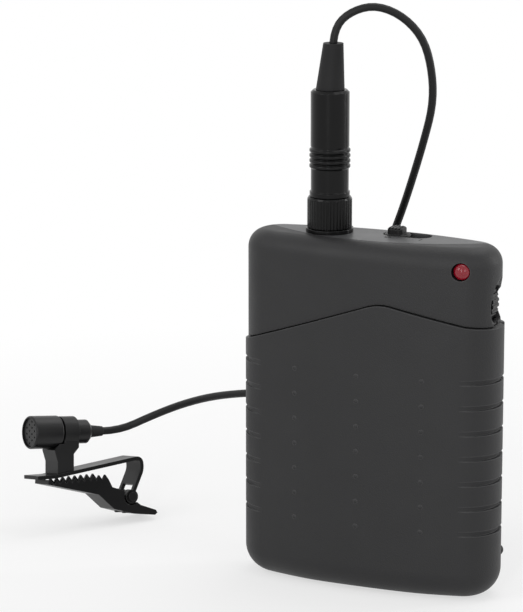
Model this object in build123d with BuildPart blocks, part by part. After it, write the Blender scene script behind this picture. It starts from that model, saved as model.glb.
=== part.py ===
"""A wireless bodypack transmitter with its plugged-in tie-clip microphone.

Millimetres, +Z up, +X to the right seen from the front, +Y to the back.
The origin is the middle of the base of the pack with its belt clip.
"""
from build123d import *
from math import atan2, cos, pi, radians, sin, sqrt, tan
import os

os.makedirs("parts", exist_ok=True)

# ---- driving sizes of the pack -------------------------------------------------
half_width = 34.6  # upper body, from the middle to its side
half_depth = 12.5
face_radius = 107.0  # the front and the back are gently rounded in plan
height = 92.2
sleeve_step = 0.7  # the lower body stands proud of the upper body
clip_reach = 7.28  # the belt clip's outer face, from the back of the lower body
wall = 1.8
cover_wall = 1.8
skin_wall = 1.5  # the front shell's recessed wall behind the battery cover
roof = 3.4
floor_wall = 4.3
cover_floor = 2.4
top_round = 4.8
base_round = 7.5
arch_rise = 1.1  # the base is arched between its two feet
arch_half_span = 21.0
seam_y = 3.5  # the parting plane of the shells
seam_gap = 0.35
seam_depth = 0.8
slide_gap = 0.3  # the battery cover clears what it slides on
fit_gap = 0.1

# ---- outlines on the body ------------------------------------------------------
cover_edge = [(-36.5, 62.6), (6.5, 77.6), (28.7, 72.7), (36.5, 71.8)]
cover_edge_rounds = [12.0, 10.0]
back_edge = [(-36.5, 63.1), (36.5, 72.2)]
groove_count = 7
groove_pitch = 6.62
groove_top = 58.1
groove_height = 1.25
groove_depth = 0.9
dot_columns = [-17.0, 0.7, 18.0]
dot_radius = 0.75
dot_height = 0.28

panel_half_length = 31.0
panel_front = 10.5  # the top panel's front edge, from the parting plane
panel_back = 6.3
panel_thickness = 2.0
panel_gap = 0.2
panel_ledge = 0.8

# ---- what the pack carries -----------------------------------------------------
led_x, led_z, led_radius = 27.2, 86.7, 2.2
wheel_x, wheel_z, wheel_radius, wheel_thickness = 25.5, 76.8, 7.0, 4.2
wheel_y = 3.0
wheel_gap = 0.4
scoop_radius, scoop_depth, wheel_window = 12.0, 2.9, 4.9
scoop_backing = 1.9
slot_x, slot_y, slot_length, slot_width = 7.5, 4.4, 13.0, 6.2
knob_length, knob_travel = 7.0, 5.4
socket_x, socket_y = -12.9, 1.0
socket_radius, flange_radius, flange_height = 5.1, 6.15, 1.0
spigot_radius, spigot_height = 4.8, 4.4

board_y, board_thickness = 6.6, 1.2
board_half_width, board_bottom, board_top = 23.5, 18.0, 80.0
cell_radius, cell_length, cell_spacing = 7.1, 50.5, 14.8
cell_y, cell_bottom = -3.0, 11.4
bay_gap = 0.8  # a cell clears the sides of its bay
bay_wall = 1.2
screw_radius, screw_head_radius, screw_hole_gap = 1.2, 2.2, 0.06
boss_radius = 2.8
case_screws_low = (24.0, 13.5)
case_screws_high = (22.0, 86.2)

# ---- belt clip -----------------------------------------------------------------
belt_strip = 1.6
belt_half_width = 10.0
belt_pin_z, belt_pin_radius, belt_knuckle_radius = 77.0, 1.2, 3.0
belt_pin_gap = 0.05
belt_grip_z, belt_bend_z, belt_tip_z = 40.0, 47.0, 33.2
belt_grip_gap = 0.8
ear_thickness = 3.0
bracket_bottom, bracket_top, bracket_plate = 70.2, 85.2, 1.5
bracket_screw_zs = [72.7, 82.6]

# ---- plug ----------------------------------------------------------------------
nut_radius, nut_height, knurl_count, knurl_radius = 5.78, 7.4, 40, 0.28
neck_radius = 4.2
barrel_radius, barrel_upper_radius = 4.9, 5.0
barrel_bottom, barrel_top = 9.3, 36.9  # above the top of the pack
grip_ring_count, grip_ring_pitch, grip_ring_first, grip_ring_radius = 4, 1.35, 17.4, 5.3
boot_bottom_radius, boot_top_radius, boot_length, boot_lean = 3.7, 2.6, 12.0, 3.9

# ---- microphone and tie clip, measured from the middle of the mic's face --------
mic_face = Vector(-103.1, -0.3, 27.9)
mic_tail_dir = Vector(0.557, 0.822, -0.117)
mic_width_dir = Vector(0.8253, -0.5327, 0.1865)
mic_radius, mic_length = 4.55, 8.7
mic_rear_radius, mic_rear_end = 3.3, 18.4
relief_end, relief_radius = 22.7, 1.8
tie_half_width = 4.0
tie_pin_at = (30.2, -18.2)
tie_pin_radius = 0.8
tie_pin_gap = 0.05
jaw_wall = 0.9
tooth_pitch, tooth_count = 1.9, 10

# ---- cord ----------------------------------------------------------------------
cord_radius = 1.05
coil_radius, coil_width, coil_height = 12.0, 8.4, 6.5
coil_lift = 0.5
coil_centre = (-4.0, 36.5)
tie_band = 0.4

# ---- frame of the pack ---------------------------------------------------------
sleeve_half_width = half_width + sleeve_step
sleeve_half_depth = half_depth + sleeve_step
mid_y = -(clip_reach - dot_height) / 2  # the belt clip moves the pack's middle forward of the origin
base = Plane((0, mid_y, 0))
face = Plane((0, mid_y, 0), x_dir=(1, 0, 0), z_dir=(0, -1, 0))
side = Plane((0, mid_y, 0), x_dir=(0, 1, 0), z_dir=(1, 0, 0))
BIG = 200.0


def face_at(y):
    """The front-view plane at a depth behind the pack's middle; it extrudes forward."""
    return face.offset(-y)


def spot(x, y, z):
    """A place measured from the middle of the pack's base."""
    return Pos(x, mid_y + y, z)


def plan_outline(width, depth, radius):
    """A face with round sides and gently rounded front and back, all tangent."""
    side_x = ((radius - depth) ** 2 - (radius - width) ** 2) / (2 * (radius - width))
    side_radius = width - side_x
    angle = atan2(radius - depth, side_x)
    join_x = side_x + side_radius * cos(angle)
    join_y = side_radius * sin(angle)
    with BuildSketch() as outline:
        with BuildLine():
            ThreePointArc((-join_x, -join_y), (0, -depth), (join_x, -join_y))
            ThreePointArc((join_x, -join_y), (width, 0), (join_x, join_y))
            ThreePointArc((join_x, join_y), (0, depth), (-join_x, join_y))
            ThreePointArc((-join_x, join_y), (-width, 0), (-join_x, -join_y))
        make_face()
    return outline.sketch


def body_form(grow, bottom, top, bottom_round, edge_round=0.0):
    """The pack's outer form, grown all round by grow, between two heights."""
    with BuildPart() as form:
        with BuildSketch(base.offset(bottom)):
            add(plan_outline(half_width + grow, half_depth + grow, face_radius + grow))
        extrude(amount=top - bottom)
        if edge_round:
            fillet(form.faces().sort_by(Axis.Z)[-1].edges(), edge_round)
        fillet(form.faces().sort_by(Axis.Z)[0].edges(), bottom_round)
    return form.part


def keep_front_of(y):
    with Locations(spot(0, y - BIG / 2, 0)):
        Box(2 * BIG, BIG, 2 * BIG, mode=Mode.INTERSECT)


def keep_behind(y):
    with Locations(spot(0, y + BIG / 2, 0)):
        Box(2 * BIG, BIG, 2 * BIG, mode=Mode.INTERSECT)


def edge_region(points, rounds, drop, above):
    """The front-view face above or below a line across the body."""
    far = BIG if above else -BIG
    first, last = points[0], points[-1]
    lowered = [(x, z - drop) for x, z in points]
    with BuildSketch() as region:
        with BuildLine():
            if rounds:
                FilletPolyline(*lowered, radius=rounds)
            else:
                Line(*lowered)
            Polyline(lowered[-1], (last[0], far), (first[0], far), lowered[0])
        make_face()
    return region.sketch


def panel_outline(grow):
    """The lens-shaped outline of the top panel, on a plane at the parting line."""
    reach = panel_half_length + grow
    with BuildSketch() as outline:
        with BuildLine():
            ThreePointArc((-reach, seam_y), (0, seam_y - panel_front - grow), (reach, seam_y))
            ThreePointArc((reach, seam_y), (0, seam_y + panel_back + grow), (-reach, seam_y))
        make_face()
    return outline.sketch


# ---- forms that several pieces share ---------------------------------------------
upper_form = body_form(0, sleeve_step, height, base_round - sleeve_step, top_round)
sleeve_form = body_form(sleeve_step, 0, height, base_round)
cover_inner = body_form(sleeve_step - cover_wall, cover_floor, height, base_round - cover_wall)
skin_grow = sleeve_step - cover_wall - slide_gap
skin_form = body_form(skin_grow, cover_floor + slide_gap, height - roof, base_round - cover_wall - slide_gap)
front_cavity = body_form(skin_grow - skin_wall, floor_wall, height - roof, 4.6, 1.5)
back_cavity = body_form(-wall, floor_wall, height - roof, 5.0, 2.5)
seam_form = body_form(-seam_depth, 0, height - seam_depth, base_round, top_round - seam_depth)

with BuildPart() as scoop_ball:
    with Locations(spot(half_width - scoop_depth + scoop_radius, wheel_y - 0.4, wheel_z)):
        Sphere(scoop_radius)

with BuildPart() as scoop_pad:
    with Locations(spot(half_width - scoop_depth + scoop_radius, wheel_y - 0.4, wheel_z)):
        Sphere(scoop_radius + scoop_backing)
    add(upper_form, mode=Mode.INTERSECT)

boss_spots = [
    (sign * x, z) for x, z in (case_screws_low, case_screws_high) for sign in (-1, 1)
]

board_post_spots = [(sign * 17, z) for z in (board_bottom + 5, board_top - 5) for sign in (-1, 1)]

with BuildPart() as front_bosses:
    with BuildSketch(face_at(seam_y)):
        with Locations(*boss_spots):
            Circle(boss_radius)
    extrude(amount=BIG)
    add(skin_form, mode=Mode.INTERSECT)

with BuildPart() as board_posts:
    with BuildSketch(face_at(board_y + board_thickness)):
        with Locations(*board_post_spots):
            Circle(1.6)
    extrude(amount=-BIG)
    add(upper_form, mode=Mode.INTERSECT)

with BuildPart() as back_bosses:
    with BuildSketch(face_at(seam_y)):
        with Locations(*boss_spots):
            Circle(boss_radius + 0.8)
        with Locations(*[(0, z) for z in bracket_screw_zs]):
            Circle(boss_radius)
    extrude(amount=-BIG)
    add(upper_form, mode=Mode.INTERSECT)
    with BuildSketch(face_at(seam_y)):
        with Locations(*[(0, z) for z in bracket_screw_zs]):
            Circle(boss_radius + 0.5)
    extrude(amount=-(board_y + board_thickness + 0.5 - seam_y), mode=Mode.SUBTRACT)


# ---- what is cut from more than one piece ------------------------------------------
with BuildPart() as base_arch:
    arch_radius = (arch_half_span**2 + arch_rise**2) / (2 * arch_rise)
    with Locations(spot(0, 0, arch_rise - arch_radius)):
        Cylinder(arch_radius, BIG, rotation=(90, 0, 0))

with BuildPart() as side_grooves:
    for level in range(groove_count):
        with BuildSketch(base.offset(groove_top - level * groove_pitch - groove_height / 2)):
            Rectangle(3 * half_width, 3 * half_depth)
            add(
                plan_outline(
                    sleeve_half_width - groove_depth,
                    sleeve_half_depth + 0.02,
                    face_radius + sleeve_step,
                ),
                mode=Mode.SUBTRACT,
            )
        extrude(amount=groove_height)

with BuildPart() as wheel_room:
    with Locations(spot(half_width, wheel_y - 0.4, wheel_z)):
        Cylinder(wheel_window, 14, rotation=(0, 90, 0))
    with Locations(spot(wheel_x, wheel_y, wheel_z)):
        Cylinder(wheel_radius + wheel_gap, wheel_thickness + 2 * wheel_gap, rotation=(90, 0, 0))

with BuildPart() as top_opening:
    with BuildSketch(base.offset(height - panel_thickness)):
        add(panel_outline(panel_gap))
    extrude(amount=2 * panel_thickness)
    with BuildSketch(base.offset(height - roof - 1)):
        add(panel_outline(-panel_ledge))
    extrude(amount=roof)
    with BuildSketch(base.offset(height - roof - 6)):
        with Locations((socket_x, socket_y)):
            Circle(socket_radius + 1.8)
        with Locations((slot_x, slot_y)):
            Rectangle(slot_length + 5.6, slot_width - 0.4)
    extrude(amount=roof + 6 - panel_thickness)

# ---- shells ----------------------------------------------------------------------
with BuildPart() as upper_above_cover:
    add(upper_form)
    with BuildSketch(face_at(BIG)):
        add(edge_region(cover_edge, cover_edge_rounds, 0, True))
    extrude(amount=2 * BIG, mode=Mode.INTERSECT)

with BuildPart() as front_form:
    add(skin_form)
    with BuildSketch(face_at(BIG)):
        add(edge_region(cover_edge, cover_edge_rounds, 0, False))
    extrude(amount=2 * BIG, mode=Mode.INTERSECT)
    add(upper_above_cover.part)

with BuildPart() as front_scoop_pad:
    add(scoop_pad.part)
    add(front_form.part, mode=Mode.INTERSECT)

with BuildPart() as front_shell:
    add(front_form.part)
    add(front_cavity, mode=Mode.SUBTRACT)
    add(front_scoop_pad.part)
    add(front_bosses.part)
    keep_front_of(seam_y)
    add(top_opening.part, mode=Mode.SUBTRACT)
    add(scoop_ball.part, mode=Mode.SUBTRACT)
    add(wheel_room.part, mode=Mode.SUBTRACT)
    # the battery bay's mouth
    with BuildSketch(face_at(0)):
        with Locations((0, cell_bottom + cell_length / 2)):
            Rectangle(cell_spacing + 2 * (cell_radius + bay_gap), cell_length + 2.6)
    extrude(amount=BIG, mode=Mode.SUBTRACT)
    # light hole, and holes for the case screws
    with BuildSketch(face_at(-2)):
        with Locations((led_x, led_z)):
            Circle(led_radius + 0.12)
    extrude(amount=BIG, mode=Mode.SUBTRACT)
    with BuildSketch(face_at(seam_y)):
        with Locations(*boss_spots):
            Circle(screw_radius + screw_hole_gap)
    extrude(amount=seam_y + 2.5, mode=Mode.SUBTRACT)

with BuildPart() as seam_ring:
    add(sleeve_form)
    add(seam_form, mode=Mode.SUBTRACT)
    keep_behind(seam_y - seam_gap)

with BuildPart() as front_shell_rim:
    add(front_shell.part)
    add(seam_ring.part, mode=Mode.SUBTRACT)

front_shell_rim.part.label = "front_shell"
export_step(front_shell_rim.part, "parts/front_shell.step")

with BuildPart() as back_sleeve:
    add(sleeve_form)
    with BuildSketch(face_at(BIG)):
        add(edge_region(back_edge, None, 0, False))
    extrude(amount=2 * BIG, mode=Mode.INTERSECT)
    add(back_cavity, mode=Mode.SUBTRACT)

with BuildPart() as back_shell:
    add(upper_form)
    add(back_cavity, mode=Mode.SUBTRACT)
    add(scoop_pad.part)
    add(scoop_ball.part, mode=Mode.SUBTRACT)
    add(back_sleeve.part)
    add(back_bosses.part)
    add(board_posts.part)
    keep_behind(seam_y)
    add(base_arch.part, mode=Mode.SUBTRACT)
    add(side_grooves.part, mode=Mode.SUBTRACT)
    add(top_opening.part, mode=Mode.SUBTRACT)
    add(wheel_room.part, mode=Mode.SUBTRACT)
    # holes and head recesses of the case screws, and the bracket's screw holes
    with BuildSketch(face_at(seam_y)):
        with Locations(*boss_spots, *[(0, z) for z in bracket_screw_zs]):
            Circle(screw_radius + screw_hole_gap)
    extrude(amount=-BIG, mode=Mode.SUBTRACT)
    with BuildSketch(face_at(board_y + board_thickness + 0.9)):
        with Locations(*boss_spots):
            Circle(screw_head_radius + 0.15)
    extrude(amount=-BIG, mode=Mode.SUBTRACT)
    # small catches that the battery cover clicks over
    catch_x = 33.0
    with Locations(spot(-catch_x, seam_y + 1.9, 11.0), spot(catch_x, seam_y + 1.9, 11.0)):
        Sphere(1.5)

back_shell.part.label = "back_shell"
export_step(back_shell.part, "parts/back_shell.step")

# ---- battery cover: slides down off the front ------------------------------------------
with BuildPart() as cover_dots:
    for column in dot_columns:
        front_y = sqrt((face_radius + sleeve_step) ** 2 - column**2)
        dot_y = face_radius - half_depth - front_y + dot_radius - dot_height
        for level in range(groove_count):
            with Locations(spot(column, dot_y, groove_top - level * groove_pitch)):
                Sphere(dot_radius)

with BuildPart() as battery_cover:
    add(sleeve_form)
    with BuildSketch(face_at(BIG)):
        add(edge_region(cover_edge, cover_edge_rounds, slide_gap, False))
    extrude(amount=2 * BIG, mode=Mode.INTERSECT)
    keep_front_of(seam_y - seam_gap)
    add(base_arch.part, mode=Mode.SUBTRACT)
    add(side_grooves.part, mode=Mode.SUBTRACT)
    add(cover_dots.part)
    add(cover_inner, mode=Mode.SUBTRACT)

battery_cover.part.label = "battery_cover"
export_step(battery_cover.part, "parts/battery_cover.step")

# ---- top panel ---------------------------------------------------------------------------
with BuildPart() as top_panel:
    with BuildSketch(base.offset(height - panel_thickness)):
        add(panel_outline(0))
    extrude(amount=2 * panel_thickness)
    add(upper_form, mode=Mode.INTERSECT)
    with BuildSketch(base.offset(height - panel_thickness)):
        with Locations((socket_x, socket_y)):
            Circle(socket_radius + fit_gap)
        with Locations((slot_x, slot_y)):
            SlotOverall(slot_length, slot_width)
    extrude(amount=2 * panel_thickness, mode=Mode.SUBTRACT)
    # plain marks beside the switch: a short bar for on and a ring for off
    with BuildSketch(base.offset(height - 0.15)):
        with Locations((slot_x + 5.4, slot_y - slot_width / 2 - 1.7)):
            Rectangle(0.35, 1.7)
        with Locations((slot_x - 3.6, slot_y - slot_width / 2 - 1.7)):
            Circle(0.85)
            Circle(0.5, mode=Mode.SUBTRACT)
    extrude(amount=1, mode=Mode.SUBTRACT)

top_panel.part.label = "top_panel"
export_step(top_panel.part, "parts/top_panel.step")

# ---- case screws, put in from the back ---------------------------------------------------
head_y = board_y + board_thickness + 0.9
with BuildPart() as case_screws:
    with BuildSketch(face_at(head_y)):
        with Locations(*boss_spots):
            Circle(screw_radius)
    extrude(amount=head_y + 1.5)
    with BuildSketch(face_at(head_y)):
        with Locations(*boss_spots):
            Circle(screw_head_radius)
    extrude(amount=-1.2)
    with BuildSketch(face_at(head_y + 1.2)):
        with Locations(*boss_spots):
            Rectangle(2.6, 0.5)
            Rectangle(0.5, 2.6)
    extrude(amount=0.7, mode=Mode.SUBTRACT)

case_screws.part.label = "case_screws"
export_step(case_screws.part, "parts/case_screws.step")

# ---- power switch ------------------------------------------------------------------------
panel_under = height - panel_thickness
switch_body_height, switch_groove_depth, stem_length = 7.0, 3.2, 3.0
knob_x = slot_x - slot_length / 2 + knob_length / 2 + 0.25
with BuildPart() as switch_body:
    with BuildSketch(base.offset(panel_under - switch_body_height)):
        with Locations((slot_x, slot_y)):
            Rectangle(slot_length + 4.6, slot_width - 1.0)
    extrude(amount=switch_body_height)
    with BuildSketch(base.offset(panel_under)):
        with Locations((knob_x + knob_travel / 2, slot_y)):
            Rectangle(stem_length + knob_travel + 0.6, 2.8)
    extrude(amount=-switch_groove_depth, mode=Mode.SUBTRACT)
    # solder tags
    with BuildSketch(base.offset(panel_under - switch_body_height)):
        with GridLocations(4.0, 1, 3, 1):
            with Locations((slot_x, slot_y)):
                Rectangle(1.4, 0.5)
    extrude(amount=-2.2)

switch_body.part.label = "switch_body"
export_step(switch_body.part, "parts/switch_body.step")

knob_ridge_count = 4
with BuildPart() as switch_knob:
    with BuildSketch(base.offset(panel_under + 0.2)):
        with Locations((knob_x, slot_y)):
            SlotOverall(knob_length, slot_width - 0.4)
    extrude(amount=panel_thickness)
    fillet(switch_knob.faces().sort_by(Axis.Z)[-1].edges(), 0.5)
    with BuildSketch(base.offset(panel_under + panel_thickness)):
        with Locations((knob_x - 0.2, slot_y)):
            RectangleRounded(4.2, slot_width - 1.6, 1.2)
    extrude(amount=1.9)
    chamfer(switch_knob.faces().sort_by(Axis.Z)[-1].edges(), 0.4)
    with BuildSketch(base.offset(panel_under + panel_thickness + 1.4)):
        with Locations((knob_x - 0.2, slot_y)):
            with GridLocations(0.9, 1, knob_ridge_count, 1):
                Rectangle(0.35, slot_width)
    extrude(amount=1, mode=Mode.SUBTRACT)
    with BuildSketch(base.offset(panel_under - switch_groove_depth + 0.3)):
        with Locations((knob_x, slot_y)):
            Rectangle(stem_length, 2.4)
    extrude(amount=switch_groove_depth)

switch_knob.part.label = "switch_knob"
export_step(switch_knob.part, "parts/switch_knob.step")

# ---- volume wheel and its potentiometer ---------------------------------------------------
wheel_rib_count = 30
pot_shaft_radius = 1.5
wheel_back = wheel_y + wheel_thickness / 2
with BuildPart() as volume_wheel:
    with BuildSketch(face_at(wheel_back)):
        with Locations((wheel_x, wheel_z)):
            Circle(wheel_radius)
            Circle(pot_shaft_radius + 0.05, mode=Mode.SUBTRACT)
            with PolarLocations(wheel_radius + 0.1, wheel_rib_count):
                Circle(0.4, mode=Mode.SUBTRACT)
    extrude(amount=wheel_thickness)
    with BuildSketch(face_at(wheel_back - wheel_thickness)):
        with Locations((wheel_x, wheel_z)):
            Circle(wheel_radius - 1.6)
            Circle(pot_shaft_radius + 1.4, mode=Mode.SUBTRACT)
    extrude(amount=-1.0, mode=Mode.SUBTRACT)

volume_wheel.part.label = "volume_wheel"
export_step(volume_wheel.part, "parts/volume_wheel.step")

with BuildPart() as volume_pot:
    with BuildSketch(face_at(board_y)):
        with Locations((24.3, wheel_z)):
            Rectangle(7.0, 8.0)
    extrude(amount=board_y - wheel_back - 0.15)
    with BuildSketch(face_at(board_y)):
        with Locations((wheel_x, wheel_z)):
            Circle(pot_shaft_radius)
    extrude(amount=board_y - wheel_back + wheel_thickness - 0.3)

volume_pot.part.label = "volume_pot"
export_step(volume_pot.part, "parts/volume_pot.step")

# ---- indicator light ------------------------------------------------------------------------
led_proud = 1.1
led_flange_y = -4.4
led_skin_y = -8.8  # the front surface at the light
with BuildPart() as led:
    with BuildSketch(face_at(led_flange_y)):
        with Locations((led_x, led_z)):
            Circle(led_radius)
    extrude(amount=led_flange_y - led_skin_y + led_proud - led_radius)
    with Locations(spot(led_x, led_skin_y - led_proud + led_radius, led_z)):
        Sphere(led_radius)
    with BuildSketch(face_at(led_flange_y)):
        with Locations((led_x, led_z)):
            with GridLocations(2.2, 1, 2, 1):
                Rectangle(0.5, 0.5)
    extrude(amount=-6.0)

led.part.label = "led"
export_step(led.part, "parts/led.step")

# ---- circuit board and what is on it ---------------------------------------------------------
board_height = board_top - board_bottom
board_mid = (board_top + board_bottom) / 2
with BuildPart() as circuit_board:
    with BuildSketch(face_at(board_y + board_thickness)):
        with Locations((0, board_mid)):
            RectangleRounded(2 * board_half_width, board_height, 1.0)
    extrude(amount=board_thickness)

circuit_board.part.label = "circuit_board"
export_step(circuit_board.part, "parts/circuit_board.step")

can_z, can_width, can_height, can_depth = 52.0, 18.0, 22.0, 2.0
with BuildPart() as shield_can:
    with BuildSketch(face_at(board_y + board_thickness)):
        with Locations((0, can_z)):
            RectangleRounded(can_width, can_height, 0.6)
    extrude(amount=-can_depth)
    with BuildSketch(face_at(board_y + board_thickness)):
        with Locations((0, can_z)):
            Rectangle(can_width - 0.6, can_height - 0.6)
    extrude(amount=-can_depth + 0.3, mode=Mode.SUBTRACT)

shield_can.part.label = "shield_can"
export_step(shield_can.part, "parts/shield_can.step")

chip_sizes = [(0.0, 57.0, 7.0, 5.0), (2.0, 48.0, 5.0, 5.0), (-14.0, 40.0, 6.0, 4.0), (14.0, 36.0, 5.0, 4.0)]
with BuildPart() as board_chips:
    for chip_x, chip_z, chip_width, chip_height in chip_sizes:
        with BuildSketch(face_at(board_y + board_thickness)):
            with Locations((chip_x, chip_z)):
                Rectangle(chip_width, chip_height)
        extrude(amount=-1.0)

board_chips.part.label = "board_chips"
export_step(board_chips.part, "parts/board_chips.step")

capacitor_spots = [(-15.0, 72.0), (-8.5, 72.0), (4.0, 72.0)]
with BuildPart() as capacitors:
    with BuildSketch(face_at(board_y)):
        with Locations(*capacitor_spots):
            Circle(2.5)
    extrude(amount=7.5)

capacitors.part.label = "capacitors"
export_step(capacitors.part, "parts/capacitors.step")

with BuildPart() as antenna_strip:
    with BuildSketch(face_at(board_y + board_thickness)):
        with Locations((-20.5, 48.0)):
            Rectangle(1.6, 42.0)
    extrude(amount=-0.4)

antenna_strip.part.label = "antenna_strip"
export_step(antenna_strip.part, "parts/antenna_strip.step")

# ---- battery bay ---------------------------------------------------------------------------------
bay_half_width = cell_spacing / 2 + cell_radius + bay_gap + bay_wall
bay_back = cell_y + cell_radius + 0.2
bay_front = -8.0
bay_low, bay_high = cell_bottom - 1.3, cell_bottom + cell_length + 1.3
bay_mid, bay_height = (bay_low + bay_high) / 2, bay_high - bay_low
with BuildPart() as battery_bay:
    with BuildSketch(face_at(bay_back + bay_wall)):
        with Locations((0, bay_mid)):
            Rectangle(2 * bay_half_width, bay_height + 2 * bay_wall)
    extrude(amount=bay_back + bay_wall - bay_front)
    with BuildSketch(face_at(bay_back)):
        with Locations((0, bay_mid)):
            Rectangle(2 * (bay_half_width - bay_wall), bay_height)
    extrude(amount=BIG, mode=Mode.SUBTRACT)
    # feet on the circuit board
    with BuildSketch(face_at(board_y)):
        with Locations((0, bay_mid)):
            with GridLocations(24, 34, 2, 2):
                Circle(1.6)
    extrude(amount=board_y - bay_back - bay_wall)

battery_bay.part.label = "battery_bay"
export_step(battery_bay.part, "parts/battery_bay.step")

cell_nub, cell_nub_radius = 1.5, 2.75
with BuildPart() as battery_cells:
    for turn, cell_x in ((0, -cell_spacing / 2), (1, cell_spacing / 2)):
        body_low = cell_bottom + turn * cell_nub
        nub_low = cell_bottom if turn else cell_bottom + cell_length - cell_nub
        with BuildSketch(base.offset(body_low)):
            with Locations((cell_x, cell_y)):
                Circle(cell_radius)
        extrude(amount=cell_length - cell_nub)
        with BuildSketch(base.offset(nub_low)):
            with Locations((cell_x, cell_y)):
                Circle(cell_nub_radius)
        extrude(amount=cell_nub)

battery_cells.part.label = "battery_cells"
export_step(battery_cells.part, "parts/battery_cells.step")

contact_thickness = 0.4
with BuildPart() as battery_contacts:
    for plate_low, dome_dir in ((bay_low, 1), (bay_high - contact_thickness, -1)):
        with BuildSketch(base.offset(plate_low)):
            with Locations((-cell_spacing / 2, cell_y), (cell_spacing / 2, cell_y)):
                Rectangle(11, 9)
        extrude(amount=contact_thickness)
        with BuildSketch(base.offset(plate_low + contact_thickness / 2)):
            with Locations((-cell_spacing / 2, cell_y), (cell_spacing / 2, cell_y)):
                Circle(2.2)
        extrude(amount=dome_dir * 0.9)

battery_contacts.part.label = "battery_contacts"
export_step(battery_contacts.part, "parts/battery_contacts.step")

# ---- microphone socket ---------------------------------------------------------------------------
socket = Plane((socket_x, mid_y + socket_y, height))
socket_depth = 12.0
with BuildPart() as socket_shell:
    for low, tall, radius in (
        (-socket_depth, socket_depth, socket_radius),
        (0, flange_height, flange_radius),
        (flange_height, spigot_height, spigot_radius),
    ):
        with BuildSketch(socket.offset(low)):
            Circle(radius)
        extrude(amount=tall)
    with BuildSketch(socket.offset(-socket_depth)):
        Circle(spigot_radius - 0.7)
    extrude(amount=BIG, mode=Mode.SUBTRACT)

socket_shell.part.label = "socket_shell"
export_step(socket_shell.part, "parts/socket_shell.step")

with BuildPart() as socket_nut:
    with BuildSketch(socket.offset(-panel_thickness)):
        RegularPolygon(socket_radius + 1.5, 6)
        Circle(socket_radius + 0.05, mode=Mode.SUBTRACT)
    extrude(amount=-2.0)

socket_nut.part.label = "socket_nut"
export_step(socket_nut.part, "parts/socket_nut.step")

pin_count, pin_circle, pin_radius = 3, 2.2, 0.45
with BuildPart() as socket_insert:
    with BuildSketch(socket.offset(-socket_depth)):
        Circle(spigot_radius - 0.7)
        with PolarLocations(pin_circle, pin_count):
            Circle(pin_radius + 0.05, mode=Mode.SUBTRACT)
    extrude(amount=6.0)

socket_insert.part.label = "socket_insert"
export_step(socket_insert.part, "parts/socket_insert.step")

with BuildPart() as socket_pins:
    with BuildSketch(socket.offset(-socket_depth - 2.5)):
        with PolarLocations(pin_circle, pin_count):
            Circle(pin_radius)
    extrude(amount=socket_depth + 4.5)

socket_pins.part.label = "socket_pins"
export_step(socket_pins.part, "parts/socket_pins.step")

# ---- microphone plug --------------------------------------------------------------------------------
nut_low = flange_height + 0.2
nut_lip = 1.2
with BuildPart() as coupling_nut:
    with BuildSketch(socket.offset(nut_low)):
        Circle(nut_radius)
        with PolarLocations(nut_radius + 0.08, knurl_count):
            Circle(knurl_radius, mode=Mode.SUBTRACT)
    extrude(amount=nut_height)
    with BuildSketch(socket.offset(nut_low + nut_height)):
        Circle(nut_radius)
    extrude(amount=0.5, taper=30)
    with BuildSketch(socket.offset(nut_low)):
        Circle(spigot_radius + 0.09)
    extrude(amount=nut_height - nut_lip + 0.5, mode=Mode.SUBTRACT)
    with BuildSketch(socket.offset(nut_low)):
        Circle(neck_radius + 0.09)
    extrude(amount=BIG, mode=Mode.SUBTRACT)

coupling_nut.part.label = "coupling_nut"
export_step(coupling_nut.part, "parts/coupling_nut.step")

barrel_profile = [(0, barrel_bottom - 3.6), (spigot_radius, barrel_bottom - 3.6)]
barrel_profile += [(spigot_radius, barrel_bottom - 2.1), (neck_radius, barrel_bottom - 2.1)]
barrel_profile += [(neck_radius, barrel_bottom), (5.2, barrel_bottom), (5.2, barrel_bottom + 1.2)]
barrel_profile += [(barrel_radius, barrel_bottom + 1.3), (barrel_radius, grip_ring_first - 0.9)]
for ring in range(grip_ring_count):
    ring_low = grip_ring_first - 0.9 + ring * grip_ring_pitch
    barrel_profile += [
        (grip_ring_radius - 0.1, ring_low + 0.3),
        (grip_ring_radius, ring_low + 0.45),
        (grip_ring_radius, ring_low + 0.9),
        (grip_ring_radius - 0.1, ring_low + 1.05),
        (barrel_radius, ring_low + 1.3),
    ]
barrel_profile += [(barrel_radius, grip_ring_first + 4.6), (barrel_upper_radius, grip_ring_first + 4.9)]
barrel_profile += [(barrel_upper_radius, barrel_top - 0.6), (barrel_upper_radius - 0.6, barrel_top)]
barrel_profile += [(0, barrel_top)]
socket_section = Plane(socket.origin, x_dir=(1, 0, 0), z_dir=(0, -1, 0))
with BuildPart() as plug_barrel:
    with BuildSketch(socket_section):
        with BuildLine():
            Polyline(*barrel_profile, close=True)
        make_face()
    revolve(axis=Axis(socket.origin, (0, 0, 1)))
    with BuildSketch(socket.offset(barrel_bottom - 4)):
        Circle(neck_radius - 0.8)
    extrude(amount=barrel_top - barrel_bottom + 2, mode=Mode.SUBTRACT)

plug_barrel.part.label = "plug_barrel"
export_step(plug_barrel.part, "parts/plug_barrel.step")

with BuildPart() as plug_insert:
    with BuildSketch(socket.offset(-4.0)):
        Circle(neck_radius - 0.85)
        with PolarLocations(pin_circle, pin_count):
            Circle(pin_radius + 0.05, mode=Mode.SUBTRACT)
    extrude(amount=barrel_bottom + 6)

plug_insert.part.label = "plug_insert"
export_step(plug_insert.part, "parts/plug_insert.step")

lean_x = boot_length * tan(radians(boot_lean))
with BuildPart() as plug_boot:
    with BuildSketch(socket.offset(barrel_top)):
        Circle(boot_bottom_radius)
    with BuildSketch(socket.offset(barrel_top + boot_length)):
        with Locations((lean_x, 0)):
            Circle(boot_top_radius)
    loft()

plug_boot.part.label = "plug_boot"
export_step(plug_boot.part, "parts/plug_boot.step")

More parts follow.
